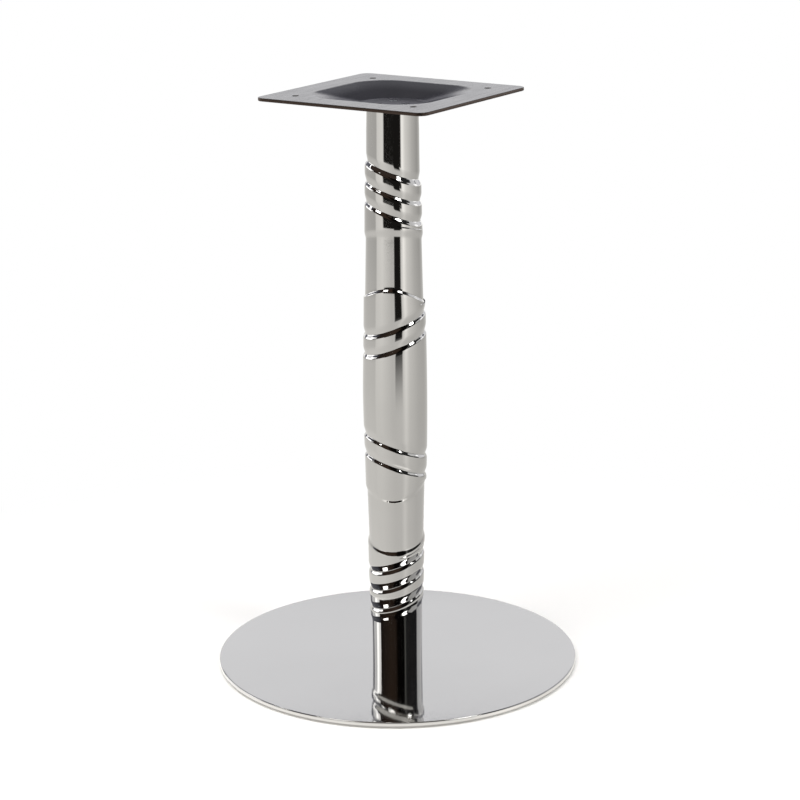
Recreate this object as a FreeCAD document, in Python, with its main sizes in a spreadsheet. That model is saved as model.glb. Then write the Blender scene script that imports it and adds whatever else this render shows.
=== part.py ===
import FreeCAD, Part
import math
import os
import Sketcher

# Pedestal table base: a polished round foot, a swelling column with inclined
# rings, and a square pressed plate that takes the table top.
# The origin is on the floor under the column, +Z up, millimetres and degrees.

vector = FreeCAD.Vector
doc = FreeCAD.newDocument("pedestal_base")
sheet = doc.addObject("Spreadsheet::Sheet", "sizes")

sizes = {
    # Overall height, floor glides and foot disc
    "overall_height": 720,
    "glide_height": 3,
    "glide_width": 30,
    "glide_inset": 30,
    "glide_rounding": 0.8,
    "disc_width": 450,
    "disc_thick": 5,
    "disc_rounding": 1.2,
    # Column: radii of the plain tube at its ends and belly, and how long they hold
    "end_radius": 31.6,
    "belly_radius": 37.9,
    "belly_drop": 10.5,
    "belly_hold": 86,
    "end_hold": 145,
    "tube_wall": 1.5,
    # Raised sleeves: an edge stands highest at its bearing, and a saddle lifts it
    # twice round, at its axis. Drops are from the column's head, rises from its foot.
    "sleeve_raise": 1.7,
    "start_ramp": 5,
    "steep_ramp": 3.4,
    "end_ramp": 6,
    "upper_end_drop": 157,
    "upper_end_tilt": 16,
    "upper_end_bearing": 298,
    "middle_start_drop": 228.2,
    "middle_start_tilt": 8.9,
    "middle_start_bearing": 267,
    "middle_start_saddle": 6.5,
    "middle_start_axis": 121,
    "middle_end_rise": 216.7,
    "middle_end_tilt": 8,
    "middle_end_bearing": 5,
    "middle_end_saddle": 7.8,
    "middle_end_axis": 35,
    "lower_start_rise": 155.9,
    "lower_start_tilt": 21,
    "lower_start_bearing": 113,
    "lower_end_rise": 62.3,
    "lower_end_tilt": 20,
    "lower_end_bearing": 46,
    # Leaned ring grooves: a short ledge that looks up under a longer ramp
    "groove_depth": 2.4,
    "top_groove_lift": 0.7,
    "ledge_height": 3.6,
    "ramp_height": 8,
    "valley_round": 1,
    "lip_round": 1.5,
    "ring_tilt": 20.5,
    "ring_pitch": 24.8,
    "upper_rings_drop": 103,
    "upper_bearing": 208,
    "shoulder_rings_drop": 277.7,
    "shoulder_bearing": 40.5,
    "waist_rings_rise": 263.1,
    "waist_bearing": 224,
    "lower_rings_rise": 99.4,
    "lower_bearing": 48,
    # Pressed plate
    "plate_side": 235,
    "plate_corner": 12,
    "plate_thick": 4,
    "plate_rounding": 1,
    "dish_side": 164,
    "dish_corner": 46,
    "floor_side": 76,
    "floor_corner": 37,
    "dish_depth": 13,
    "dish_rounding": 14,
    "hole_inset": 35,
    "hole_width": 8,
    # Plug in the column head and spigot in its foot
    "plug_thick": 20,
    "press_gap": 0.05,
    "spigot_height": 22,
    "spigot_gap": 0.3,
    "seat_chamfer": 2,
    # Countersunk screws: up through the disc, and down through the dish
    "screw_recess": 0.3,
    "screw_clearance": 0.3,
    "thread_clearance": 0.05,
    "screw_bottoming": 2,
    "foot_screw_circle": 38,
    "foot_screw_count": 3,
    "foot_screw_width": 6,
    "foot_screw_length": 16,
    "foot_screw_head": 12,
    "foot_screw_cone": 3,
    "foot_socket_width": 4,
    "foot_socket_depth": 2.2,
    "plate_screw_circle": 38,
    "plate_screw_count": 3,
    "plate_screw_width": 5,
    "plate_screw_length": 14,
    "plate_screw_head": 9.6,
    "plate_screw_cone": 2.3,
    "plate_socket_width": 3,
    "plate_socket_depth": 1.8,
}

# Levels, radii and places that follow
followers = {
    "disc_top": "=glide_height + disc_thick",
    "glide_reach": "=disc_width / 2 - glide_inset",
    "dish_level": "=overall_height - dish_depth",
    "column_top": "=dish_level - plate_thick",
    "belly_height": "=(disc_top + column_top) / 2 - belly_drop",
    "upper_end_height": "=column_top - upper_end_drop",
    "middle_start_height": "=column_top - middle_start_drop",
    "middle_end_height": "=disc_top + middle_end_rise",
    "lower_start_height": "=disc_top + lower_start_rise",
    "lower_end_height": "=disc_top + lower_end_rise",
    "upper_rings": "=column_top - upper_rings_drop",
    "shoulder_rings": "=column_top - shoulder_rings_drop",
    "waist_rings": "=disc_top + waist_rings_rise",
    "lower_rings": "=disc_top + lower_rings_rise",
    "hole_spacing": "=plate_side - 2 * hole_inset",
    "bore_radius": "=end_radius - tube_wall",
    "foot_screw_start": "=glide_height + screw_recess",
    "foot_cone_top": "=foot_screw_start + foot_screw_cone",
    "foot_thread_end": "=foot_screw_start + foot_screw_length + screw_bottoming",
    "plate_screw_top": "=dish_level - screw_recess",
    "plate_cone_foot": "=plate_screw_top - plate_screw_cone",
    "plate_screw_tip": "=plate_screw_top - plate_screw_length",
    "plate_thread_end": "=plate_screw_tip - screw_bottoming",
    "plate_socket_foot": "=plate_screw_top - plate_socket_depth",
}

for row, (alias, amount) in enumerate([*sizes.items(), *followers.items()], 1):
    sheet.set("A%d" % row, alias)
    sheet.set("B%d" % row, str(amount))
    sheet.setAlias("B%d" % row, alias)
doc.recompute()


def evaluate(expression):
    found = sheet.evalExpression(expression)
    return float(getattr(found, "Value", found))


def value(alias):
    return evaluate("sizes." + alias)


def originPart(body, role):
    for feature in body.Origin.OriginFeatures:
        if feature.Role == role:
            return feature


def bodyOf(name):
    return doc.addObject("PartDesign::Body", name)


def sketchOn(body, role, name):
    sketch = body.newObject("Sketcher::SketchObject", name)
    sketch.AttachmentSupport = [(originPart(body, role), "")]
    sketch.MapMode = "FlatFace"
    return sketch


def drive(sketch, kind, places, expression):
    index = sketch.addConstraint(Sketcher.Constraint(kind, *places, evaluate(expression)))
    sketch.setExpression("Constraints[%d]" % index, expression)


# Closed outline through points given as pairs of expressions
def outline(sketch, points):
    spots = [vector(evaluate(x), evaluate(y), 0) for x, y in points]
    count = len(spots)
    for i in range(count):
        sketch.addGeometry(Part.LineSegment(spots[i], spots[(i + 1) % count]))
    for i in range(count):
        sketch.addConstraint(Sketcher.Constraint("Coincident", i, 2, (i + 1) % count, 1))
    for i, (x, y) in enumerate(points):
        if x == "0":
            sketch.addConstraint(Sketcher.Constraint("PointOnObject", i, 1, -2))
        else:
            drive(sketch, "DistanceX", (-1, 1, i, 1), x)
        if y == "0":
            sketch.addConstraint(Sketcher.Constraint("PointOnObject", i, 1, -1))
        else:
            drive(sketch, "DistanceY", (-1, 1, i, 1), y)


# Square with rounded corners, centred on the sketch origin
def roundedSquare(sketch, side, corner):
    half = evaluate(side) / 2
    radius = evaluate(corner)
    inner = half - radius
    normal = vector(0, 0, 1)
    for i in range(4):
        turn = FreeCAD.Rotation(normal, 90 * i)
        start = turn.multVec(vector(half, -inner, 0))
        end = turn.multVec(vector(half, inner, 0))
        centre = turn.multVec(vector(inner, inner, 0))
        circle = Part.Circle(centre, normal, radius)
        sketch.addGeometry(Part.LineSegment(start, end))
        sketch.addGeometry(Part.ArcOfCircle(circle, math.pi / 2 * i, math.pi / 2 * (i + 1)))
    for i in range(4):
        arc = 2 * i + 1
        sketch.addConstraint(Sketcher.Constraint("Tangent", 2 * i, 2, arc, 1))
        sketch.addConstraint(Sketcher.Constraint("Tangent", arc, 2, (arc + 1) % 8, 1))
        if i:
            sketch.addConstraint(Sketcher.Constraint("Equal", 1, arc))
    sketch.addConstraint(Sketcher.Constraint("Symmetric", 0, 1, 0, 2, -1))
    sketch.addConstraint(Sketcher.Constraint("Symmetric", 2, 1, 2, 2, -2))
    drive(sketch, "DistanceX", (-1, 1, 0, 1), side + " / 2")
    drive(sketch, "DistanceY", (-1, 1, 2, 1), side + " / 2")
    drive(sketch, "Radius", (1,), corner)


def turned(body, name, points):
    sketch = sketchOn(body, "XZ_Plane", name + "_section")
    outline(sketch, points)
    feature = body.newObject("PartDesign::Revolution", name)
    feature.Profile = sketch
    feature.ReferenceAxis = (sketch, ["V_Axis"])
    feature.Angle = 360
    return feature


# Holes turned round an upright axis on a circle of screws, repeated round Z
def screwHoles(body, name, kind, points):
    sketch = sketchOn(body, "XZ_Plane", name + "_section")
    sketch.setExpression("AttachmentOffset.Base.x", "sizes.%s_circle / 2" % kind)
    outline(sketch, points)
    hole = body.newObject("PartDesign::Groove", name)
    hole.Profile = sketch
    hole.ReferenceAxis = (sketch, ["V_Axis"])
    hole.Angle = 360
    pattern = body.newObject("PartDesign::PolarPattern", name + "_round")
    pattern.Originals = [hole]
    pattern.Axis = (originPart(body, "Z_Axis"), [""])
    pattern.Angle = 360
    pattern.setExpression("Occurrences", "sizes.%s_count" % kind)
    body.Tip = pattern
    doc.recompute()


def edgesAt(shape, level, near, far):
    names = []
    for i, edge in enumerate(shape.Edges):
        box = edge.BoundBox
        reach = max(math.hypot(v.Point.x, v.Point.y) for v in edge.Vertexes)
        if abs(box.ZMin - level) < 0.01 and abs(box.ZMax - level) < 0.01 and near < reach < far:
            names.append("Edge%d" % (i + 1))
    return names


def roundEdges(body, name, names, radius):
    base = body.Tip
    fillet = body.newObject("PartDesign::Fillet", name)
    fillet.Base = (base, names)
    fillet.setExpression("Radius", radius)
    doc.recompute()
    return fillet


# Foot disc: a turned plate with rounded rims and countersunk screw seats
disc = bodyOf("floor_disc")
rim = "sizes.disc_width / 2"
turned(disc, "disc_plate", [("0", "sizes.glide_height"), (rim, "sizes.glide_height"),
                            (rim, "sizes.disc_top"), ("0", "sizes.disc_top")])
doc.recompute()
rims = []
for level in ("disc_top", "glide_height"):
    rims += edgesAt(disc.Shape, value(level), value("disc_width") / 4, value("disc_width"))
roundEdges(disc, "disc_rims", rims, "sizes.disc_rounding")
headSeat = "sizes.foot_screw_head / 2 + sizes.screw_clearance"
shankSeat = "sizes.foot_screw_width / 2 + sizes.screw_clearance"
screwHoles(disc, "screw_seat", "foot_screw", [("0", "sizes.glide_height"), (headSeat, "sizes.glide_height"),
                                              (headSeat, "sizes.foot_screw_start"),
                                              (shankSeat, "sizes.foot_cone_top"),
                                              (shankSeat, "sizes.disc_top"), ("0", "sizes.disc_top")])


# Plain column profile: one smooth curve, upright at the ends and at the belly
def profile(sketch):
    ends = "sizes.end_radius"
    belly = "sizes.belly_radius"
    poles = [(ends, "sizes.disc_top"), (ends, "sizes.disc_top + sizes.end_hold"),
             (belly, "sizes.belly_height - sizes.belly_hold"), (belly, "sizes.belly_height"),
             (belly, "sizes.belly_height + sizes.belly_hold"),
             (ends, "sizes.column_top - sizes.end_hold"), (ends, "sizes.column_top")]
    spots = [vector(evaluate(x), evaluate(y), 0) for x, y in poles]
    curve = Part.BSplineCurve()
    curve.buildFromPolesMultsKnots(spots, [4, 3, 4], [0, 1, 2], False, 3)
    sketch.addGeometry(curve)
    sketch.exposeInternalGeometry(0)
    for i, (x, y) in enumerate(poles):
        drive(sketch, "DistanceX", (-1, 1, 1 + i, 3), x)
        drive(sketch, "DistanceY", (-1, 1, 1 + i, 3), y)


columnLine = doc.addObject("Sketcher::SketchObject", "column_profile")
columnLine.Placement = FreeCAD.Placement(vector(0, 0, 0), FreeCAD.Rotation(vector(1, 0, 0), 90))
profile(columnLine)
doc.recompute()


def plainRadius(level):
    reach = Part.makeLine(vector(0, 0, level), vector(10 * value("belly_radius"), 0, level))
    return columnLine.Shape.Edges[0].distToShape(reach)[1][0][0].x


# How a ring leans: slope and saddle as vectors, so that they can be blended
def lean(tilt, bearing, saddle=0, axis=0):
    slope = math.tan(math.radians(tilt))
    return (slope * math.cos(math.radians(bearing)), slope * math.sin(math.radians(bearing)),
            saddle * math.cos(math.radians(2 * axis)), saddle * math.sin(math.radians(2 * axis)))


def sleeveEdge(name, saddled=False):
    names = ("_tilt", "_bearing", "_saddle", "_axis") if saddled else ("_tilt", "_bearing")
    return value(name + "_height"), lean(*[value(name + ending) for ending in names])


# Corner of the profile, or the two points that round it off
def corner(before, spot, after, cut):
    if cut == 0:
        return [spot]
    points = []
    for other in (before, after):
        run = (other[0] - spot[0], other[1] - spot[1])
        share = min(cut / math.hypot(*run), 0.45)
        points.append((spot[0] + run[0] * share, spot[1] + run[1] * share))
    return points


# Groove from its land up to the land above: lip, valley, top of the ramp
def grooveSteps(height, valley, above, softness):
    raised = value("sleeve_raise")
    ledge = value("ledge_height")
    lip = (height - ledge / 2, raised)
    low = (height + ledge / 2, valley)
    top = (height + ledge / 2 + value("ramp_height"), above)
    land = (lip[0] - ledge, raised)
    return (corner(land, lip, low, softness * value("lip_round"))
            + corner(lip, low, top, softness * value("valley_round")) + [top])


# Stations from the foot to the head: mean height, step out from the plain
# tube, and lean; softness 1 rounds the grooves, 0 leaves them sharp
def stations(softness):
    raised = value("sleeve_raise")
    start = value("start_ramp") / 2
    end = value("end_ramp") / 2
    pitch = value("ring_pitch")
    upright = lean(0, 0)
    steps = [(value("disc_top"), 0, upright)]

    def edge(name, half, below, above, saddled=False):
        height, leaning = sleeveEdge(name, saddled)
        steps.append((height - half, below, leaning))
        steps.append((height + half, above, leaning))

    def grooves(group, counts, topValley=None):
        leaning = lean(value("ring_tilt"), value(group + "_bearing"))
        for count in counts:
            last = topValley is not None and count == counts[-1]
            valley = topValley if last else raised - value("groove_depth")
            height = value(group + "_rings") + count * pitch
            for spot in grooveSteps(height, valley, 0 if last else raised, softness):
                steps.append((spot[0], spot[1], leaning))

    # A bare stretch keeps to the curve at evenly spaced stations
    def stretch(target, leaning, count, out):
        base, _, before = steps[-1]
        for i in range(1, count + 1):
            part = i / (count + 1)
            blend = tuple(a + (b - a) * part for a, b in zip(before, leaning))
            steps.append((base + (target - base) * part, out, blend))

    edge("lower_end", end, 0, raised)
    grooves("lower", (-1, 0, 1))
    edge("lower_start", start, raised, 0)
    height, leaning = sleeveEdge("middle_end", True)
    stretch(height - end, leaning, 1, 0)
    edge("middle_end", end, 0, raised, True)
    grooves("waist", (-0.5, 0.5))
    leaning = lean(value("ring_tilt"), value("shoulder_bearing"))
    stretch(value("shoulder_rings") - pitch, leaning, 3, raised)
    grooves("shoulder", (-0.5, 0.5))
    edge("middle_start", value("steep_ramp") / 2, raised, 0, True)
    height, leaning = sleeveEdge("upper_end")
    stretch(height - end, leaning, 1, 0)
    edge("upper_end", end, 0, raised)
    grooves("upper", (-1, 0, 1), value("top_groove_lift") - value("groove_depth"))
    steps.append((value("column_top"), 0, upright))
    return steps


# Closed curve of one station
def ringWire(level, radius, leaning):
    count = 16
    spots = []
    for i in range(count):
        turn = 2 * math.pi * i / count
        x = radius * math.cos(turn)
        y = radius * math.sin(turn)
        saddle = leaning[2] * math.cos(2 * turn) + leaning[3] * math.sin(2 * turn)
        spots.append(vector(x, y, level + leaning[0] * x + leaning[1] * y + saddle))
    curve = Part.BSplineCurve()
    curve.interpolate(Points=spots, PeriodicFlag=True, Parameters=[float(i) for i in range(count + 1)])
    return Part.Wire([curve.toShape()])


# A solid form of the column: a ruled skin through all its stations
def columnForm(name, softness, shrink):
    rings = []
    for i, (level, out, leaning) in enumerate(stations(softness)):
        ring = doc.addObject("Part::Feature", "%s_ring_%d" % (name, i))
        ring.Shape = ringWire(level, plainRadius(level) + out - shrink, leaning)
        rings.append(ring)
    form = doc.addObject("Part::Loft", name)
    form.Sections = rings
    form.Solid = True
    form.Ruled = True
    return form


column = doc.addObject("Part::Cut", "column")
column.Base = columnForm("column_outside", 1, 0)
column.Tool = columnForm("column_bore", 0, value("tube_wall"))

# Plug pressed into the column head, tapped for the plate's screws
plug = bodyOf("head_plug")
plugRim = "sizes.bore_radius - sizes.press_gap"
plugFoot = "sizes.column_top - sizes.plug_thick"
turned(plug, "plug_disc", [("0", plugFoot), (plugRim + " - sizes.seat_chamfer", plugFoot),
                           (plugRim, plugFoot + " + sizes.seat_chamfer"),
                           (plugRim, "sizes.column_top"), ("0", "sizes.column_top")])
tapped = "sizes.plate_screw_width / 2 + sizes.thread_clearance"
screwHoles(plug, "plug_thread", "plate_screw", [("0", "sizes.plate_thread_end"),
                                                (tapped, "sizes.plate_thread_end"),
                                                (tapped, "sizes.column_top"), ("0", "sizes.column_top")])

# Spigot that centres the column foot, tapped for the disc's screws
spigot = bodyOf("foot_spigot")
spigotRim = "sizes.bore_radius - sizes.spigot_gap"
spigotTop = "sizes.disc_top + sizes.spigot_height"
turned(spigot, "spigot_boss", [("0", "sizes.disc_top"), (spigotRim, "sizes.disc_top"),
                               (spigotRim, spigotTop + " - sizes.seat_chamfer"),
                               (spigotRim + " - sizes.seat_chamfer", spigotTop), ("0", spigotTop)])
tapped = "sizes.foot_screw_width / 2 + sizes.thread_clearance"
screwHoles(spigot, "spigot_thread", "foot_screw", [("0", "sizes.disc_top"), (tapped, "sizes.disc_top"),
                                                   (tapped, "sizes.foot_thread_end"),
                                                   ("0", "sizes.foot_thread_end")])

# Pressed plate: flat flange, sloping dish of even thickness, screw holes
plate = bodyOf("top_plate")


def squareSketch(name, level, side, rounding):
    sketch = sketchOn(plate, "XY_Plane", name)
    sketch.setExpression("AttachmentOffset.Base.z", level)
    roundedSquare(sketch, side, rounding)
    return sketch


flange = plate.newObject("PartDesign::Pad", "flange")
flange.Profile = squareSketch("flange_outline", "sizes.overall_height - sizes.plate_thick",
                              "sizes.plate_side", "sizes.plate_corner")
flange.setExpression("Length", "sizes.plate_thick")
doc.recompute()
# The dish wall runs at one slope, so the underside shifts out by the same amount all round
slopeRun = "(sizes.dish_side - sizes.floor_side) / 2"
slopeLength = "sqrt(pow(%s; 2) + pow(sizes.dish_depth; 2))" % slopeRun
shift = "sizes.plate_thick * (%s - %s) / sizes.dish_depth" % (slopeLength, slopeRun)
under = plate.newObject("PartDesign::AdditiveLoft", "dish_underside")
under.Profile = squareSketch("underside_rim", "sizes.overall_height - sizes.plate_thick",
                             "(sizes.dish_side + 2 * %s)" % shift, "(sizes.dish_corner + %s)" % shift)
under.Sections = [squareSketch("underside_floor", "sizes.column_top",
                               "(sizes.floor_side + 2 * %s)" % shift, "(sizes.floor_corner + %s)" % shift)]
under.Ruled = True
doc.recompute()
hollow = plate.newObject("PartDesign::SubtractiveLoft", "dish_hollow")
hollow.Profile = squareSketch("hollow_rim", "sizes.overall_height", "sizes.dish_side", "sizes.dish_corner")
hollow.Sections = [squareSketch("hollow_floor", "sizes.dish_level",
                                "sizes.floor_side", "sizes.floor_corner")]
hollow.Ruled = True
doc.recompute()
dishReach = value("dish_side")
floorReach = value("floor_side")
flat = value("overall_height")
roundEdges(plate, "dish_rim", edgesAt(plate.Shape, flat, 0, 0.75 * dishReach), "sizes.dish_rounding")
roundEdges(plate, "rim_underside", edgesAt(plate.Shape, flat - value("plate_thick"), 0, 0.75 * dishReach),
           "sizes.dish_rounding - sizes.plate_thick")
roundEdges(plate, "dish_corner_in", edgesAt(plate.Shape, value("dish_level"), 0, 0.75 * floorReach),
           "sizes.dish_rounding - sizes.plate_thick")
roundEdges(plate, "dish_corner_out", edgesAt(plate.Shape, value("column_top"), 0, 0.8 * floorReach),
           "sizes.dish_rounding")
flangeRims = []
for level in (flat, flat - value("plate_thick")):
    flangeRims += edgesAt(plate.Shape, level, 0.75 * dishReach, value("plate_side"))
roundEdges(plate, "flange_rims", flangeRims, "sizes.plate_rounding")
holes = sketchOn(plate, "XY_Plane", "hole_places")
holes.setExpression("AttachmentOffset.Base.z", "sizes.overall_height")
half = value("hole_spacing") / 2
for i, (across, along) in enumerate(((1, 1), (-1, 1), (-1, -1), (1, -1))):
    spot = vector(across * half, along * half, 0)
    holes.addGeometry(Part.Circle(spot, vector(0, 0, 1), value("hole_width") / 2))
    drive(holes, "DistanceX", (-1, 1, i, 3), "%d * sizes.hole_spacing / 2" % across)
    drive(holes, "DistanceY", (-1, 1, i, 3), "%d * sizes.hole_spacing / 2" % along)
    drive(holes, "Diameter", (i,), "sizes.hole_width")
drilled = plate.newObject("PartDesign::Pocket", "screw_holes")
drilled.Profile = holes
drilled.Type = "ThroughAll"
doc.recompute()
headSeat = "sizes.plate_screw_head / 2 + sizes.screw_clearance"
shankSeat = "sizes.plate_screw_width / 2 + sizes.screw_clearance"
screwHoles(plate, "plate_seat", "plate_screw", [("0", "sizes.dish_level"), (headSeat, "sizes.dish_level"),
                                                (headSeat, "sizes.plate_screw_top"),
                                                (shankSeat, "sizes.plate_cone_foot"),
                                                (shankSeat, "sizes.column_top"), ("0", "sizes.column_top")])

# Floor glides: four round pads under the disc, rounded at the floor
pads = []
for i in range(4):
    pad = doc.addObject("Part::Cylinder", "glide_pad_%d" % i)
    pad.setExpression("Radius", "sizes.glide_width / 2")
    pad.setExpression("Height", "sizes.glide_height")
    pad.setExpression("Placement.Base.x", "sizes.glide_reach * cos(%d)" % (45 + 90 * i))
    pad.setExpression("Placement.Base.y", "sizes.glide_reach * sin(%d)" % (45 + 90 * i))
    doc.recompute()
    rounded = doc.addObject("Part::Fillet", "glide_%d" % i)
    rounded.Base = pad
    lowest = [n + 1 for n, edge in enumerate(pad.Shape.Edges) if abs(edge.BoundBox.ZMax) < 0.01]
    rounded.Edges = [(lowest[0], value("glide_rounding"), value("glide_rounding"))]
    pads.append(rounded)
glides = doc.addObject("Part::Compound", "floor_glides")
glides.Links = pads


# Countersunk socket screws on a circle, one solid each. The levels are the feet of
# cone, shank and socket, and the cone's radii are given foot first.
def screwSet(label, kind, radii, levels):
    screws = []
    for i in range(int(value(kind + "_screw_count"))):
        cone = doc.addObject("Part::Cone", "%s_cone_%d" % (kind, i))
        cone.setExpression("Radius1", "sizes.%s_%s / 2" % (kind, radii[0]))
        cone.setExpression("Radius2", "sizes.%s_%s / 2" % (kind, radii[1]))
        cone.setExpression("Height", "sizes.%s_screw_cone" % kind)
        shank = doc.addObject("Part::Cylinder", "%s_shank_%d" % (kind, i))
        shank.setExpression("Radius", "sizes.%s_screw_width / 2" % kind)
        shank.setExpression("Height", "sizes.%s_screw_length" % kind)
        socket = doc.addObject("Part::Prism", "%s_socket_%d" % (kind, i))
        socket.Polygon = 6
        socket.setExpression("Circumradius", "sizes.%s_socket_width / 2 / cos(30)" % kind)
        socket.setExpression("Height", "sizes.%s_socket_depth" % kind)
        turn = "%d * 360 / sizes.%s_screw_count" % (i, kind)
        reach = "sizes.%s_screw_circle / 2" % kind
        for piece, level in zip((cone, shank, socket), levels):
            piece.setExpression("Placement.Base.x", "%s * cos(%s)" % (reach, turn))
            piece.setExpression("Placement.Base.y", "%s * sin(%s)" % (reach, turn))
            piece.setExpression("Placement.Base.z", "sizes." + level)
        solid = doc.addObject("Part::MultiFuse", "%s_solid_%d" % (kind, i))
        solid.Shapes = [cone, shank]
        screw = doc.addObject("Part::Cut", "%s_screw_%d" % (kind, i))
        screw.Base = solid
        screw.Tool = socket
        screws.append(screw)
    group = doc.addObject("Part::Compound", label)
    group.Links = screws
    return group


discScrews = screwSet("spigot_screws", "foot", ("screw_head", "screw_width"),
                      ("foot_screw_start", "foot_screw_start", "foot_screw_start"))
dishScrews = screwSet("plug_screws", "plate", ("screw_width", "screw_head"),
                      ("plate_cone_foot", "plate_screw_tip", "plate_socket_foot"))
doc.recompute()

nodes = [disc, column, plug, spigot, plate, glides, discScrews, dishScrews]
for item in doc.Objects:
    if "Invalid" in item.State or "Error" in item.State:
        raise RuntimeError("%s did not build: %s" % (item.Label, item.getStatusString()))
os.makedirs("parts", exist_ok=True)
for node in nodes:
    if node.Shape.isNull() or not node.Shape.isValid():
        raise RuntimeError("%s has no sound shape" % node.Label)
    node.Shape.exportStep("parts/%s.step" % node.Label)
    print("%-14s %2d solids %11.1f mm3" % (node.Label, len(node.Shape.Solids), node.Shape.Volume))
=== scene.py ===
import math
import bmesh
import bpy
from mathutils import Matrix, Vector


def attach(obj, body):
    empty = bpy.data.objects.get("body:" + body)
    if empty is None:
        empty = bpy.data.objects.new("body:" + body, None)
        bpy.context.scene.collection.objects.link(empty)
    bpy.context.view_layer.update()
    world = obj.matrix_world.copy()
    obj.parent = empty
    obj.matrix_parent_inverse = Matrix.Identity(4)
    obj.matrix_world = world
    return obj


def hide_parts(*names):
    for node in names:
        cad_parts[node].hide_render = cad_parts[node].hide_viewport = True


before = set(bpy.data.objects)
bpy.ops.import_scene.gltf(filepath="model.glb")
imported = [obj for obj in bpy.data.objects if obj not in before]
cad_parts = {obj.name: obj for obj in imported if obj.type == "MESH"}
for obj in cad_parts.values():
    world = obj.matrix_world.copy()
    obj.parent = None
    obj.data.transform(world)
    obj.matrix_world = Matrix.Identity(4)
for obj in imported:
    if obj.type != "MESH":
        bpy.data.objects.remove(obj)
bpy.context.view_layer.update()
mm = 0.001
tiny = 1e-6  # metres, within which two heights count as one
print("frame in place:", ", ".join(sorted(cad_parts)))


# small helpers

def linear(code):  # sRGB hex to linear colour
    parts = [int(code[i:i + 2], 16) / 255 for i in (1, 3, 5)]
    return [p / 12.92 if p <= 0.04045 else ((p + 0.055) / 1.055) ** 2.4 for p in parts] + [1]


def addNode(tree, kind, settings=None, links=None):
    node = tree.nodes.new(kind)
    for name, value in (settings or {}).items():
        if name == "stops":  # (spot, colour) along a ramp
            marks = node.color_ramp.elements
            given = len(marks)
            for i, (spot, colour) in enumerate(value):
                mark = marks[i] if i < given else marks.new(spot)
                mark.position, mark.color = spot, colour
        elif isinstance(name, str) and hasattr(node, name):
            setattr(node, name, value)
        else:
            node.inputs[name].default_value = value
    for socket, source in (links or {}).items():
        tree.links.new(source, node.inputs[socket])
    return node


def newMaterial(name):
    material = bpy.data.materials.new(name)
    material.use_nodes = True
    material.node_tree.nodes.clear()
    return material, material.node_tree


def dress(mesh, material):
    mesh.materials.clear()
    mesh.materials.append(material)


def addPiece(name, bm, material, node):
    mesh = bpy.data.meshes.new(name)
    bm.to_mesh(mesh)
    bm.free()
    dress(mesh, material)
    piece = bpy.data.objects.new(name, mesh)
    bpy.context.scene.collection.objects.link(piece)
    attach(piece, "root")
    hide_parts(node)
    print(name, "has", len(mesh.polygons), "faces")


def chain(bm, points):  # open wire of (across, up) points in the XZ plane, in mm
    verts = [bm.verts.new((x * mm, 0, z * mm)) for x, z in points]
    edges = [bm.edges.new(pair) for pair in zip(verts, verts[1:])]
    return verts, edges


def spinRound(bm, geom, centre, steps):  # full turn about an upright axis
    bmesh.ops.spin(bm, geom=geom, cent=centre, axis=(0, 0, 1), dvec=(0, 0, 0),
                   angle=2 * math.pi, steps=steps, use_merge=True, use_duplicate=False)


def roundCorners(bm, verts, offset, segments):  # corners of a wire or a flat face
    bmesh.ops.bevel(bm, geom=verts, offset=offset * mm, offset_type="OFFSET", affect="VERTICES",
                    segments=segments, profile=0.5, material=-1, clamp_overlap=True)


def fillFlat(bm, level, up):  # flat face with its holes, between the open edges at one height
    rims = [e for e in bm.edges if len(e.link_faces) < 2
            and all(abs(v.co.z - level * mm) < tiny for v in e.verts)]
    made = bmesh.ops.triangle_fill(bm, edges=rims, use_beauty=True, normal=(0, 0, 1 if up else -1))
    for item in made["geom"]:
        if isinstance(item, bmesh.types.BMFace):
            item.smooth = False


# Polished stainless steel, buffed to a mirror: a clear grey reflection, bent a little by
# the long shallow swells that buffing leaves, under a faint uneven haze. Lengths in mm.
polish = {"colour": "#CAC9C7", "shade": "#BFBEBC", "rough": 0.035, "haze": 0.085,
          "swell": 38, "swellHeight": 0.012, "discSwell": 114, "discSwellHeight": 0.0072,
          "cloudPerSwell": 2.5, "buffing": 2.2}


def polishedStainless(name, swell, height):
    material, tree = newMaterial(name)
    place = addNode(tree, "ShaderNodeTexCoord")
    cloud = addNode(tree, "ShaderNodeTexNoise",
                    {"Scale": 1 / (polish["cloudPerSwell"] * swell * mm), "Detail": 3,
                     "Roughness": 0.55}, {"Vector": place.outputs["Object"]})
    tint = addNode(tree, "ShaderNodeMix", {"data_type": "RGBA", 6: linear(polish["colour"]),
                                           7: linear(polish["shade"])}, {0: cloud.outputs["Fac"]})
    fine = addNode(tree, "ShaderNodeTexNoise",
                   {"Scale": 1 / (polish["buffing"] * mm), "Detail": 4, "Roughness": 0.6},
                   {"Vector": place.outputs["Object"]})
    haze = addNode(tree, "ShaderNodeMapRange",
                   {"From Min": 0.35, "From Max": 0.75, "To Min": polish["rough"],
                    "To Max": polish["haze"]}, {"Value": fine.outputs["Fac"]})
    swells = addNode(tree, "ShaderNodeTexNoise",
                     {"Scale": 1 / (swell * mm), "Detail": 1, "Roughness": 0.4},
                     {"Vector": place.outputs["Object"]})
    bump = addNode(tree, "ShaderNodeBump", {"Strength": 1, "Distance": height * mm},
                   {"Height": swells.outputs["Fac"]})
    shader = addNode(tree, "ShaderNodeBsdfPrincipled", {"Metallic": 1},
                     {"Base Color": tint.outputs[2], "Roughness": haze.outputs["Result"],
                      "Normal": bump.outputs["Normal"]})
    addNode(tree, "ShaderNodeOutputMaterial", None, {"Surface": shader.outputs["BSDF"]})
    return material


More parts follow.
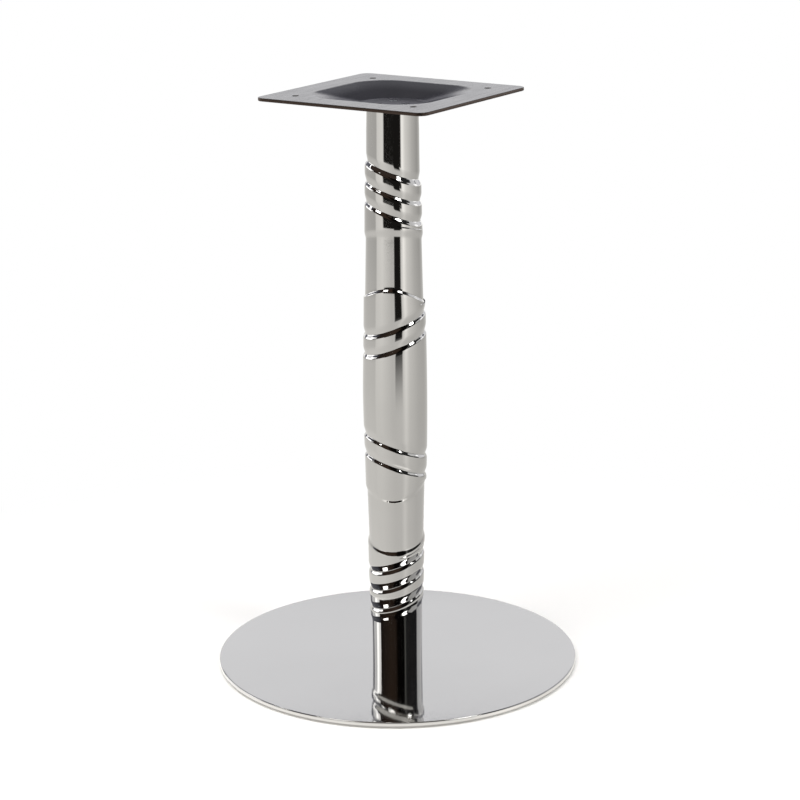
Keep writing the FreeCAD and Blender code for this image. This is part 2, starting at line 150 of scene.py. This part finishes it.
# Cold-rolled sheet steel, pressed and bright plated: a soft satin sheen with faint
# drawn streaks along the sheet and slow clouds where the press has rubbed it; a painted
# shade in the dish, which dims and blues its reflections; and a dull rougher brown on the
# edges and underside. An edge is told by how far its face leans, the dish by its height.
pressing = {"colour": "#94928F", "shade": "#84827F", "rough": 0.15, "haze": 0.24,
            "streak": 3.5, "stretch": 0.06, "streakHeight": 0.004, "cloud": 45,
            "edge": "#4B403A", "edgeRough": 0.42, "edgeFrom": 0.86, "edgeTo": 0.55,
            "dishRim": 719, "dishDeep": 712, "dishShade": "#ACACB2"}


def pressedSheet():
    material, tree = newMaterial("plated_pressed_sheet")
    place = addNode(tree, "ShaderNodeTexCoord")
    along = addNode(tree, "ShaderNodeMapping", {"Scale": (1, pressing["stretch"], 1)},
                    {"Vector": place.outputs["Object"]})
    streaks = addNode(tree, "ShaderNodeTexNoise",
                      {"Scale": 1 / (pressing["streak"] * mm), "Detail": 3, "Roughness": 0.6},
                      {"Vector": along.outputs["Vector"]})
    cloud = addNode(tree, "ShaderNodeTexNoise",
                    {"Scale": 1 / (pressing["cloud"] * mm), "Detail": 4, "Roughness": 0.6},
                    {"Vector": place.outputs["Object"]})
    tint = addNode(tree, "ShaderNodeMix", {"data_type": "RGBA", 6: linear(pressing["colour"]),
                                           7: linear(pressing["shade"])}, {0: cloud.outputs["Fac"]})
    rough = addNode(tree, "ShaderNodeMapRange",
                    {"From Min": 0.3, "From Max": 0.7, "To Min": pressing["rough"],
                     "To Max": pressing["haze"]}, {"Value": streaks.outputs["Fac"]})
    bump = addNode(tree, "ShaderNodeBump",
                   {"Strength": 0.1, "Distance": pressing["streakHeight"] * mm},
                   {"Height": streaks.outputs["Fac"]})
    facing = addNode(tree, "ShaderNodeSeparateXYZ", None, {"Vector": place.outputs["Normal"]})
    # faces leaning away from up, the edges and underside, turn a dull rougher brown
    leaningAway = addNode(tree, "ShaderNodeMapRange",
                      {"interpolation_type": "SMOOTHSTEP", "From Min": pressing["edgeFrom"],
                       "From Max": pressing["edgeTo"]}, {"Value": facing.outputs["Z"]})
    colour = addNode(tree, "ShaderNodeMix", {"data_type": "RGBA", 7: linear(pressing["edge"])},
                     {0: leaningAway.outputs["Result"], 6: tint.outputs[2]})
    dull = addNode(tree, "ShaderNodeMix", {3: pressing["edgeRough"]},
                   {0: leaningAway.outputs["Result"], 2: rough.outputs["Result"]})
    spot = addNode(tree, "ShaderNodeSeparateXYZ", None, {"Vector": place.outputs["Object"]})
    inDish = addNode(tree, "ShaderNodeMapRange",
                     {"interpolation_type": "SMOOTHSTEP", "From Min": pressing["dishRim"] * mm,
                      "From Max": pressing["dishDeep"] * mm}, {"Value": spot.outputs["Z"]})
    # painted shade: reflections in the dish are dimmed and tinted blue-grey, by height
    paintedDishShade = addNode(tree, "ShaderNodeMix", {"data_type": "RGBA", 6: (1, 1, 1, 1),
                                             7: linear(pressing["dishShade"])},
                     {0: inDish.outputs["Result"]})
    shader = addNode(tree, "ShaderNodeBsdfPrincipled", {"Metallic": 1},
                     {"Base Color": colour.outputs[2], "Roughness": dull.outputs[0],
                      "Specular Tint": paintedDishShade.outputs[2], "Normal": bump.outputs["Normal"]})
    addNode(tree, "ShaderNodeOutputMaterial", None, {"Surface": shader.outputs["BSDF"]})
    return material


# Zinc plated steel: dull blue-white metal with a cloudy spangle
zinc = {"colour": "#A9AEB4", "shade": "#8E9296", "rough": 0.28, "haze": 0.5, "spangle": 3}


def zincPlate():
    material, tree = newMaterial("zinc_plated_steel")
    place = addNode(tree, "ShaderNodeTexCoord")
    spangle = addNode(tree, "ShaderNodeTexVoronoi", {"Scale": 1 / (zinc["spangle"] * mm)},
                      {"Vector": place.outputs["Object"]})
    tint = addNode(tree, "ShaderNodeMix", {"data_type": "RGBA", 6: linear(zinc["colour"]),
                                           7: linear(zinc["shade"])},
                   {0: spangle.outputs["Distance"]})
    rough = addNode(tree, "ShaderNodeMapRange", {"To Min": zinc["rough"], "To Max": zinc["haze"]},
                    {"Value": spangle.outputs["Distance"]})
    shader = addNode(tree, "ShaderNodeBsdfPrincipled", {"Metallic": 1},
                     {"Base Color": tint.outputs[2], "Roughness": rough.outputs["Result"]})
    addNode(tree, "ShaderNodeOutputMaterial", None, {"Surface": shader.outputs["BSDF"]})
    return material


# Moulded rubber: deep matt grey-black with a fine leathery grain
rubber = {"colour": "#1C1C1D", "shade": "#2A2A2B", "rough": 0.75, "grain": 0.8, "grainHeight": 0.1}


def mouldedRubber():
    material, tree = newMaterial("moulded_rubber")
    place = addNode(tree, "ShaderNodeTexCoord")
    grain = addNode(tree, "ShaderNodeTexNoise",
                    {"Scale": 1 / (rubber["grain"] * mm), "Detail": 5, "Roughness": 0.65},
                    {"Vector": place.outputs["Object"]})
    tint = addNode(tree, "ShaderNodeMix", {"data_type": "RGBA", 6: linear(rubber["colour"]),
                                           7: linear(rubber["shade"])}, {0: grain.outputs["Fac"]})
    bump = addNode(tree, "ShaderNodeBump",
                   {"Strength": 0.4, "Distance": rubber["grainHeight"] * mm},
                   {"Height": grain.outputs["Fac"]})
    shader = addNode(tree, "ShaderNodeBsdfPrincipled", {"Roughness": rubber["rough"]},
                     {"Base Color": tint.outputs[2], "Normal": bump.outputs["Normal"]})
    addNode(tree, "ShaderNodeOutputMaterial", None, {"Surface": shader.outputs["BSDF"]})
    return material


columnSteel = polishedStainless("polished_stainless_column", polish["swell"], polish["swellHeight"])
discSteel = polishedStainless("polished_stainless_disc", polish["discSwell"],
                              polish["discSwellHeight"])
plateSteel = pressedSheet()
zincSteel = zincPlate()
padRubber = mouldedRubber()
print("materials made")


# Column: a formed tube, in mm. Heights are mean heights up the column and steps stand out
# from the plain tube. A lean is tilt and bearing in degrees, and for some a saddle height
# with its axis. A ring's lean holds a little past its groove.
column = {
    "foot": 8, "head": 703, "endRadius": 31.6, "bellyRadius": 37.9, "belly": 345,
    "bellyHold": 86, "endHold": 145, "halvings": 30, "wall": 1.5, "sleeveRaise": 1.7,
    "startRamp": 5, "steepRamp": 2.6, "endRamp": 6, "edgeRound": 1.9, "steepRound": 0.8,
    "grooveDepth": 2.4, "topLift": 0.7, "ledge": 3.6, "topLedge": 5.1, "ramp": 8,
    "lipRound": 1.6, "valleyRound": 0.9, "rampRound": 2.6,
    "pitch": 24.8, "ringTilt": 20.5, "leanHold": 1,
    "edges": {"lowerEnd": (70.3, (20, 46)), "lowerStart": (163.9, (21, 113)),
              "middleEnd": (224.7, (8, 5, 7.8, 35)), "middleStart": (474.8, (8.9, 267, 6.5, 121)),
              "upperEnd": (546, (16, 298))},
    "rings": {"lower": (107.4, 48), "waist": (271.1, 224), "shoulder": (425.3, 40.5),
              "upper": (600, 208)},
    "around": 168, "rowHeight": 4, "roundSteps": 5,
}


def bezier(points, t):
    a = (1 - t) ** 3
    b = 3 * t * (1 - t) ** 2
    c = 3 * t * t * (1 - t)
    d = t ** 3
    return [a * p + b * q + c * r + d * s for p, q, r, s in zip(*points)]


def plainRadius(level):  # swelling tube without sleeves or grooves
    end, wide = column["endRadius"], column["bellyRadius"]
    foot, belly, head = column["foot"], column["belly"], column["head"]
    hold, endHold = column["bellyHold"], column["endHold"]
    if level < belly:
        points = [(end, foot), (end, foot + endHold), (wide, belly - hold), (wide, belly)]
    else:
        points = [(wide, belly), (wide, belly + hold), (end, head - endHold), (end, head)]
    low, high = 0.0, 1.0
    for _ in range(column["halvings"]):
        middle = (low + high) / 2
        if bezier(points, middle)[1] < level:
            low = middle
        else:
            high = middle
    return bezier(points, (low + high) / 2)[0]


def leanOf(tilt, bearing, saddle=0, axis=0):
    slope = math.tan(math.radians(tilt))
    turn, twice = math.radians(bearing), math.radians(2 * axis)
    return (slope * math.cos(turn), slope * math.sin(turn),
            saddle * math.cos(twice), saddle * math.sin(twice))


corners = []  # (height, step, rounding) from foot to head
leans = []  # (height, lean), blended between
raised = column["sleeveRaise"]


def plainEnd(height):
    corners.append((height, 0, 0))
    leans.append((height, leanOf(0, 0)))


def sleeveEdge(name, ramp, below, above, rounding=column["edgeRound"]):
    height, leaning = column["edges"][name]
    for up, step in ((-ramp / 2, below), (ramp / 2, above)):
        corners.append((height + up, step, rounding))
        leans.append((height + up, leanOf(*leaning)))


def groove(group, count, top=False):  # ledge, valley and ramp, upwards
    height, bearing = column["rings"][group]
    height += count * column["pitch"]
    valley = (column["topLift"] if top else raised) - column["grooveDepth"]
    ledge = column["topLedge"] if top else column["ledge"]
    low, deep = height - ledge / 2, height + ledge / 2
    high = deep + column["ramp"]
    corners.append((low, raised, column["lipRound"]))
    corners.append((deep, valley, column["valleyRound"]))
    corners.append((high, 0 if top else raised, column["rampRound"]))
    leaning = leanOf(column["ringTilt"], bearing)
    leans.append((low - column["leanHold"], leaning))
    leans.append((high + column["leanHold"], leaning))


# foot to head, with each group's rings counted in pitches from its middle
plainEnd(column["foot"])
sleeveEdge("lowerEnd", column["endRamp"], 0, raised)
for count in (-1, 0, 1):
    groove("lower", count)
sleeveEdge("lowerStart", column["startRamp"], raised, 0)
sleeveEdge("middleEnd", column["endRamp"], 0, raised)
for group in ("waist", "shoulder"):
    for count in (-0.5, 0.5):
        groove(group, count)
sleeveEdge("middleStart", column["steepRamp"], raised, 0, column["steepRound"])
sleeveEdge("upperEnd", column["endRamp"], 0, raised)
for count in (-1, 0, 1):
    groove("upper", count, count == 1)
plainEnd(column["head"])


def leanAt(level):  # eased from one lean to the next
    for (low, first), (high, second) in zip(leans, leans[1:]):
        if level <= high:
            part = min(max((level - low) / (high - low), 0), 1)
            part = part * part * (3 - 2 * part)
            return [a + (b - a) * part for a, b in zip(first, second)]
    return leans[-1][1]


def buildColumn():
    bm = bmesh.new()
    verts, _ = chain(bm, [(step, height) for height, step, _ in corners])
    for rounding in sorted({c[2] for c in corners} - {0}):  # round each kind of corner off
        chosen = [v for v, c in zip(verts, corners) if v.is_valid and c[2] == rounding]
        roundCorners(bm, chosen, rounding, column["roundSteps"])
    for edge in list(bm.edges):  # rows along the bare stretches
        cuts = int(edge.calc_length() / (column["rowHeight"] * mm))
        if cuts:
            bmesh.ops.subdivide_edges(bm, edges=[edge], cuts=cuts)
    for v in bm.verts:
        v.co.x += plainRadius(v.co.z / mm) * mm
    outside = sorted(bm.verts, key=lambda v: v.co.z)
    inside, _ = chain(bm, [(plainRadius(h) + step - column["wall"], h) for h, step, _ in corners])
    bm.edges.new((outside[0], inside[0]))
    bm.edges.new((outside[-1], inside[-1]))
    spinRound(bm, bm.verts[:] + bm.edges[:], (0, 0, 0), column["around"])
    for v in bm.verts:  # lean each ring
        x, y, level = v.co / mm
        twice = 2 * math.atan2(y, x)
        slopeX, slopeY, saddleX, saddleY = leanAt(level)
        rise = slopeX * x + slopeY * y
        v.co.z += (rise + saddleX * math.cos(twice) + saddleY * math.sin(twice)) * mm
    bmesh.ops.recalc_face_normals(bm, faces=bm.faces)
    for face in bm.faces:  # the two ends stay flat and meet the walls in a hard edge
        face.smooth = len({round(v.co.z / tiny) for v in face.verts}) > 1
    for edge in bm.edges:
        edge.smooth = all(face.smooth for face in edge.link_faces)
    return bm


addPiece("column_tube", buildColumn(), columnSteel, "column")


# Foot disc: polished plate with rounded rims and three countersunk seats below. The
# rounding stops just short of the wire's ends, which are then welded to it.
disc = {"radius": 224.98, "bottom": 3, "top": 8, "round": 1.2, "roundShare": 0.999,
        "weld": 0.01, "around": 288, "roundSteps": 6,
        "screwCircle": 38, "screws": 3, "head": 6.3, "shank": 3.3, "recess": 0.3, "cone": 3,
        "seatSteps": 40}


def turnedHole(bm, points, centre, steps):  # hole wall about its own axis
    verts, edges = chain(bm, points)
    bmesh.ops.translate(bm, verts=verts, vec=centre)
    spinRound(bm, verts + edges, centre, steps)


def onCircle(width, count, i):
    turn = 2 * math.pi * i / count
    return Vector((math.cos(turn), math.sin(turn), 0)) * (width / 2 * mm)


def buildDisc():
    bm = bmesh.new()
    low, high, reach = disc["bottom"], disc["top"], disc["radius"]
    inner = reach - disc["round"]
    verts, _ = chain(bm, [(inner, low), (reach, low), (reach, high), (inner, high)])
    roundCorners(bm, verts[1:3], disc["round"] * disc["roundShare"], disc["roundSteps"])
    bmesh.ops.remove_doubles(bm, verts=bm.verts, dist=disc["weld"] * mm)
    spinRound(bm, bm.verts[:] + bm.edges[:], (0, 0, 0), disc["around"])
    for face in bm.faces:
        face.smooth = True
    seat = low + disc["recess"]
    for i in range(disc["screws"]):
        turnedHole(bm, [(disc["head"], low), (disc["head"], seat),
                        (disc["shank"], seat + disc["cone"]), (disc["shank"], high)],
                   onCircle(disc["screwCircle"], disc["screws"], i), disc["seatSteps"])
    fillFlat(bm, low, False)
    fillFlat(bm, high, True)
    bmesh.ops.recalc_face_normals(bm, faces=bm.faces)
    return bm


addPiece("foot_disc", buildDisc(), discSteel, "floor_disc")


# Pressed plate: square flange, dish that narrows to a round floor, drilled corners. A
# row's corner rounding always leaves a short straight side.
plate = {"half": 117.5, "corner": 12, "top": 720, "thick": 4, "edgeRound": 0.7, "edgeSteps": 5,
         "dishHalf": 82, "dishCorner": 46, "floorHalf": 38, "floorCorner": 37, "depth": 13,
         "rimRound": 20, "floorRound": 24, "dishSteps": 8, "cornerSteps": 14, "shortSide": 0.4,
         "hole": 4, "holeAt": 82.5, "holeEdge": 0.35, "holeSteps": 32,
         "screwCircle": 38, "screws": 3, "head": 5.1, "shank": 2.8, "recess": 0.3, "cone": 2.3}


def squareRing(bm, half, corner, level):  # rounded square wire
    made = bmesh.ops.create_grid(bm, x_segments=1, y_segments=1, size=half * mm,
                                 matrix=Matrix.Translation((0, 0, level * mm)))
    verts = made["verts"]
    old = set(bm.edges) - {e for v in verts for e in v.link_edges}
    roundCorners(bm, verts, corner, plate["cornerSteps"])
    edges = [e for e in bm.edges if e not in old]
    faces = {f for e in edges for f in e.link_faces}
    bmesh.ops.delete(bm, geom=list(faces), context="FACES_ONLY")
    return edges


def dishSection(shift, top, rimRound, floorRound):  # (half, corner, level) from flange to floor
    run = plate["dishHalf"] - plate["floorHalf"]
    slope = math.atan2(plate["depth"], run)
    steps = plate["dishSteps"]
    bends = ((rimRound, plate["dishHalf"] + shift, top, -1),
             (floorRound, plate["floorHalf"] + shift, top - plate["depth"], 1))
    rows = []
    for bend, half, level, sign in bends:
        reach = bend * math.tan(slope / 2)
        for i in range(steps + 1):
            turn = slope * (i / steps if sign < 0 else 1 - i / steps)
            across = half + sign * (bend * math.sin(turn) - reach)
            up = level + sign * bend * (1 - math.cos(turn))
            share = (across - shift - plate["floorHalf"]) / run
            widening = (plate["dishCorner"] - plate["floorCorner"]) * share
            corner = plate["floorCorner"] + widening + shift
            rows.append((across, min(corner, across - plate["shortSide"]), up))
    return rows


def bridgeRows(bm, rows):
    rings = [squareRing(bm, *row) for row in rows]
    for lower, upper in zip(rings, rings[1:]):
        made = bmesh.ops.bridge_loops(bm, edges=lower + upper)
        for face in made["faces"]:
            face.smooth = True


def buildPlate():
    bm = bmesh.new()
    half, top, thick, edge = plate["half"], plate["top"], plate["thick"], plate["edgeRound"]
    bottom, floor = top - thick, top - plate["depth"]
    steps = plate["edgeSteps"]
    lip = []
    for i in range(2 * steps + 2):  # rounded outer edge, from the underside to the top
        low = i <= steps
        turn = math.pi / 2 * (i if low else i - 1) / steps
        out = half - edge + edge * math.sin(turn)
        level = (bottom + edge if low else top - edge) - edge * math.cos(turn)
        lip.append((out, plate["corner"] - (half - out), level))
    bridgeRows(bm, lip)
    run = plate["dishHalf"] - plate["floorHalf"]
    shift = thick * (math.hypot(run, plate["depth"]) - run) / plate["depth"]
    rim, foot = plate["rimRound"], plate["floorRound"]
    bridgeRows(bm, dishSection(0, top, rim, foot))
    bridgeRows(bm, dishSection(shift, bottom, rim - thick, foot + thick))
    hole, bevelled = plate["hole"], plate["holeEdge"]
    for across in (-1, 1):
        for along in (-1, 1):
            turnedHole(bm, [(hole + bevelled, bottom), (hole, bottom + bevelled),
                            (hole, top - bevelled), (hole + bevelled, top)],
                       Vector((across, along, 0)) * plate["holeAt"] * mm, plate["holeSteps"])
    seat = floor - plate["recess"]
    for i in range(plate["screws"]):
        turnedHole(bm, [(plate["head"], floor), (plate["head"], seat),
                        (plate["shank"], seat - plate["cone"]), (plate["shank"], floor - thick)],
                   onCircle(plate["screwCircle"], plate["screws"], i), plate["holeSteps"])
    for level, up in ((top, True), (floor, True), (bottom, False), (floor - thick, False)):
        fillFlat(bm, level, up)
    bmesh.ops.recalc_face_normals(bm, faces=bm.faces)
    return bm


addPiece("pressed_plate", buildPlate(), plateSteel, "top_plate")

# fixings and pads keep their solids and take their finish
for node in ("head_plug", "foot_spigot", "plug_screws", "spigot_screws"):
    dress(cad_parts[node].data, zincSteel)
dress(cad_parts["floor_glides"].data, padRubber)
print("fixings dressed")


# Stage: a pale sweep that stays white round the object. Mirrored in the steel it is a lit
# studio floor: brighter beside the lights and close round the disc, with a dark walk and
# a dark far end in front, and a room beyond that is dark in front and paler behind.
# Bearings are in degrees from the camera's side, to the right positive, distances in metres.
stage = {
    "turn": 33.2, "floorSize": 60, "floorColour": "#F4F3F1", "fadeFrom": 0.32, "fadeTo": 0.85,
    "near": [(-180, 0.86), (-100, 0.96), (-50, 0.92), (0, 0.8), (22, 0.8), (36, 0.95),
             (52, 0.8), (90, 0.71), (180, 0.74)],
    "far": [(-180, 0.84), (-135, 0.66), (-104, 0.64), (-77, 0.62), (-71, 1.02), (-48, 1.12),
            (-8, 0.74), (30, 1.0), (40, 1.5), (54, 1.05), (90, 0.7), (125, 0.5), (180, 0.8)],
    "lift": 2, "warm": "#FFFDF9", "blendFrom": 0.5, "blendTo": 3.2,
    "walk": (1, 27), "walkFrom": 1.05, "walkTo": 2.1,
    "end": (-41, 34), "endFrom": 3.42, "endTo": 3.55, "soft": 2.5, "dark": "#141312",
    "skirt": 1.65, "skirtFrom": 0.236, "skirtTo": 0.256,
    "room": [(-180, "#7C7D86"), (-150, "#8E8F98"), (-96, "#5C5D66"), (-80, "#2C2522"),
             (-30, "#40342C"), (-8, "#3A2F28"), (2, "#100D0C"), (32, "#0A0909"),
             (35, "#6E6E6C"), (38, "#6E6E6C"), (41, "#2E2E2E"), (92, "#2A2A2B"),
             (110, "#5C5D66"), (150, "#8D8E97"), (180, "#7C7D86")],
    "ceiling": "#C2BDB7", "ceilingFrom": 61, "ceilingTo": 70,
}


def spotOf(bearing):  # along a ramp that goes once round
    return (bearing + 180) / 360


def greyStops(bands):  # under one for the ramp, and lifted again by the emission
    return [(spotOf(bearing), [bright / stage["lift"]] * 3 + [1]) for bearing, bright in bands]


def between(tree, source, low, high):  # one inside a range, falling to nothing outside it
    soft = stage["soft"]
    rise = addNode(tree, "ShaderNodeMapRange",
                   {"interpolation_type": "SMOOTHSTEP", "From Min": low - soft,
                    "From Max": low + soft}, {"Value": source})
    fall = addNode(tree, "ShaderNodeMapRange",
                   {"interpolation_type": "SMOOTHSTEP", "From Min": high + soft,
                    "From Max": high - soft}, {"Value": source})
    both = addNode(tree, "ShaderNodeMath", {"operation": "MULTIPLY"},
                   {0: rise.outputs["Result"], 1: fall.outputs["Result"]})
    return both.outputs["Value"]


def bearingOf(tree, vector):  # degrees from the camera's side, share of the turn, and parts
    turned = addNode(tree, "ShaderNodeMapping", {"Rotation": (0, 0, -math.radians(stage["turn"]))},
                     {"Vector": vector})
    parts = addNode(tree, "ShaderNodeSeparateXYZ", None, {"Vector": turned.outputs["Vector"]})
    ahead = addNode(tree, "ShaderNodeMath", {"operation": "MULTIPLY", 1: -1},
                    {0: parts.outputs["Y"]})
    angle = addNode(tree, "ShaderNodeMath", {"operation": "ARCTAN2"},
                    {0: parts.outputs["X"], 1: ahead.outputs["Value"]})
    degrees = addNode(tree, "ShaderNodeMath", {"operation": "MULTIPLY", 1: 180 / math.pi},
                      {0: angle.outputs["Value"]})
    whole = addNode(tree, "ShaderNodeMapRange", {"From Min": -180, "From Max": 180},
                    {"Value": degrees.outputs["Value"]})
    return degrees.outputs["Value"], whole.outputs["Result"], parts


def buildFloor():
    bm = bmesh.new()
    bmesh.ops.create_grid(bm, x_segments=1, y_segments=1, size=stage["floorSize"] / 2)
    mesh = bpy.data.meshes.new("floor")
    bm.to_mesh(mesh)
    bm.free()
    floor = bpy.data.objects.new("floor", mesh)
    bpy.context.scene.collection.objects.link(floor)
    material, tree = newMaterial("pale_sweep")
    dress(mesh, material)
    path = addNode(tree, "ShaderNodeLightPath")
    place = addNode(tree, "ShaderNodeTexCoord")
    # what the camera sees: a shadow by the object, and a white page farther out
    sweep = addNode(tree, "ShaderNodeBsdfPrincipled",
                    {"Base Color": linear(stage["floorColour"]), "Roughness": 0.9,
                     "Specular IOR Level": 0.1})
    away = addNode(tree, "ShaderNodeVectorMath", {"operation": "LENGTH"},
                   {0: place.outputs["Object"]})
    fade = addNode(tree, "ShaderNodeMapRange",
                   {"interpolation_type": "SMOOTHSTEP", "From Min": stage["fadeFrom"],
                    "From Max": stage["fadeTo"]}, {"Value": away.outputs["Value"]})
    seen = addNode(tree, "ShaderNodeMath", {"operation": "MULTIPLY"},
                   {0: fade.outputs["Result"], 1: path.outputs["Is Camera Ray"]})
    page = addNode(tree, "ShaderNodeEmission", {"Color": (1, 1, 1, 1), "Strength": 1})
    camera = addNode(tree, "ShaderNodeMixShader", None,
                     {0: seen.outputs["Value"], 1: sweep.outputs["BSDF"],
                      2: page.outputs["Emission"]})
    # what the steel sees
    bearing, whole, _ = bearingOf(tree, place.outputs["Object"])
    near, far = (addNode(tree, "ShaderNodeValToRGB", {"stops": greyStops(stage[key])},
                         {"Fac": whole}) for key in ("near", "far"))
    blend = addNode(tree, "ShaderNodeMapRange",
                    {"From Min": stage["blendFrom"], "From Max": stage["blendTo"]},
                    {"Value": away.outputs["Value"]})
    lit = addNode(tree, "ShaderNodeMix", {"data_type": "RGBA"},
                  {0: blend.outputs["Result"], 6: near.outputs["Color"], 7: far.outputs["Color"]})
    warm = addNode(tree, "ShaderNodeMix", {"data_type": "RGBA", "blend_type": "MULTIPLY", 0: 1,
                                           7: linear(stage["warm"])}, {6: lit.outputs[2]})
    skirt = addNode(tree, "ShaderNodeMapRange",
                    {"From Min": stage["skirtFrom"], "From Max": stage["skirtTo"],
                     "To Min": stage["skirt"], "To Max": 1}, {"Value": away.outputs["Value"]})
    bright = addNode(tree, "ShaderNodeVectorMath", {"operation": "SCALE"},
                     {0: warm.outputs[2], "Scale": skirt.outputs["Result"]})
    shade = bright.outputs["Vector"]
    for name in ("end", "walk"):
        reach = addNode(tree, "ShaderNodeMapRange",
                        {"interpolation_type": "SMOOTHSTEP", "From Min": stage[name + "From"],
                         "From Max": stage[name + "To"]}, {"Value": away.outputs["Value"]})
        cover = addNode(tree, "ShaderNodeMath", {"operation": "MULTIPLY"},
                        {0: between(tree, bearing, *stage[name]), 1: reach.outputs["Result"]})
        mix = addNode(tree, "ShaderNodeMix", {"data_type": "RGBA", 7: linear(stage["dark"])},
                      {0: cover.outputs["Value"], 6: shade})
        shade = mix.outputs[2]
    mirrored = addNode(tree, "ShaderNodeEmission", {"Strength": stage["lift"]}, {"Color": shade})
    both = addNode(tree, "ShaderNodeMixShader", None,
                   {0: path.outputs["Is Glossy Ray"], 1: camera.outputs["Shader"],
                    2: mirrored.outputs["Emission"]})
    addNode(tree, "ShaderNodeOutputMaterial", None, {"Surface": both.outputs["Shader"]})


def buildWorld():
    world = bpy.data.worlds.new("studio")
    bpy.context.scene.world = world
    world.use_nodes = True
    tree = world.node_tree
    tree.nodes.clear()
    path = addNode(tree, "ShaderNodeLightPath")
    place = addNode(tree, "ShaderNodeTexCoord")
    _, whole, parts = bearingOf(tree, place.outputs["Generated"])
    low, high = (math.sin(math.radians(stage[key])) for key in ("ceilingFrom", "ceilingTo"))
    above = addNode(tree, "ShaderNodeMapRange", {"From Min": low, "From Max": high},
                    {"Value": parts.outputs["Z"]})
    stops = [(spotOf(bearing), linear(code)) for bearing, code in stage["room"]]
    walls = addNode(tree, "ShaderNodeValToRGB", {"stops": stops}, {"Fac": whole})
    shade = addNode(tree, "ShaderNodeMix", {"data_type": "RGBA", 7: linear(stage["ceiling"])},
                    {0: above.outputs["Result"], 6: walls.outputs["Color"]})
    room = addNode(tree, "ShaderNodeBackground", {"Strength": 1}, {"Color": shade.outputs[2]})
    page = addNode(tree, "ShaderNodeBackground", {"Color": (1, 1, 1, 1), "Strength": 1})
    mix = addNode(tree, "ShaderNodeMixShader", None,
                  {0: path.outputs["Is Camera Ray"], 1: room.outputs["Background"],
                   2: page.outputs["Background"]})
    addNode(tree, "ShaderNodeOutputWorld", None, {"Surface": mix.outputs["Shader"]})


# Lamps that the steel mirrors, and one overhead that only lights the floor. Each has a
# bearing and elevation in degrees as seen from a level on the axis, the distance from
# there and its size in metres, and its brightness.
lamps = {
    "back_wall": (180, 0, 0.71, 4.0, (5.6, 1.4), 0.58),
    "back_wall_top": (180, 0, 1.64, 4.0, (5.6, 0.46), 0.8),
    "left_wall": (-113, 0, 0.6, 3.2, (2.3, 0.64), 2.4),
    "left_wall_top": (-113, 0, 1.24, 3.2, (2.3, 0.64), 1.1),
    "left_card": (-94, 0, 1.22, 3.2, (1.5, 0.5), 1.9),
    "right_wall": (123, 14, 0.1, 3.2, (2.4, 1.2), 0.8),
    "side_panel": (96, 0, 0.88, 1.15, (1.0, 0.6), 0.8),
    "box_left": (-104, 40, 0.6, 2.4, (0.36, 0.36), 8),
    "box_front_left": (-53, 52, 0.6, 6.0, (2.0, 1.7), 7),
    "box_right": (52, 45, 0.6, 5.8, (1.5, 2.1), 9.5),
    "overhead": (-40, 80, 0.2, 3.4, (2.8, 2.8), 4.2, False),
}


def softBox(name, bearing, height, level, away, size, brightness, mirrored=True):
    turn = math.radians(stage["turn"] - 90 + bearing)  # the camera's side is -Y, turned
    rise = math.radians(height)
    light = bpy.data.lights.new(name, "AREA")
    light.shape = "RECTANGLE"
    light.size, light.size_y = size
    light.energy = brightness * math.pi * size[0] * size[1]
    lamp = bpy.data.objects.new(name, light)
    bpy.context.scene.collection.objects.link(lamp)
    way = Vector((math.cos(turn) * math.cos(rise), math.sin(turn) * math.cos(rise), math.sin(rise)))
    lamp.location = Vector((0, 0, level)) + way * away
    lamp.rotation_euler = way.to_track_quat("Z", "Y").to_euler()
    lamp.visible_camera = False
    lamp.visible_glossy = mirrored


buildFloor()
buildWorld()
for name, setting in lamps.items():
    softBox(name, *setting)
print("stage lit by", len(lamps), "lamps")

# Camera, solved from the photograph's outlines: focal length in pixels of a square picture,
# sensor and place in mm, angles in degrees, clip in metres
view = {"focal": 2405, "pixels": 800, "sensor": 36, "clip": (0.1, 200),
        "away": 2847, "height": 1151, "down": 15.91, "yaw": 0.12, "roll": -0.5}


def buildCamera():
    data = bpy.data.cameras.new("camera")
    data.sensor_width = view["sensor"]
    data.lens = view["focal"] * view["sensor"] / view["pixels"]
    data.clip_start, data.clip_end = view["clip"]
    camera = bpy.data.objects.new("camera", data)
    bpy.context.scene.collection.objects.link(camera)
    yaw, down, roll = (math.radians(view[key]) for key in ("yaw", "down", "roll"))
    look = Vector((math.sin(yaw) * math.cos(down), math.cos(yaw) * math.cos(down), -math.sin(down)))
    right = Vector((math.cos(yaw), -math.sin(yaw), 0))
    up = right.cross(look)
    across = math.cos(roll) * right + math.sin(roll) * up
    above = -math.sin(roll) * right + math.cos(roll) * up
    pose = Matrix((across, above, -look)).transposed().to_4x4()
    pose.translation = Vector((0, -view["away"], view["height"])) * mm
    camera.matrix_world = Matrix.Rotation(math.radians(stage["turn"]), 4, "Z") @ pose
    bpy.context.scene.camera = camera


buildCamera()
bpy.context.scene.view_settings.view_transform = "Standard"
print("scene ready")
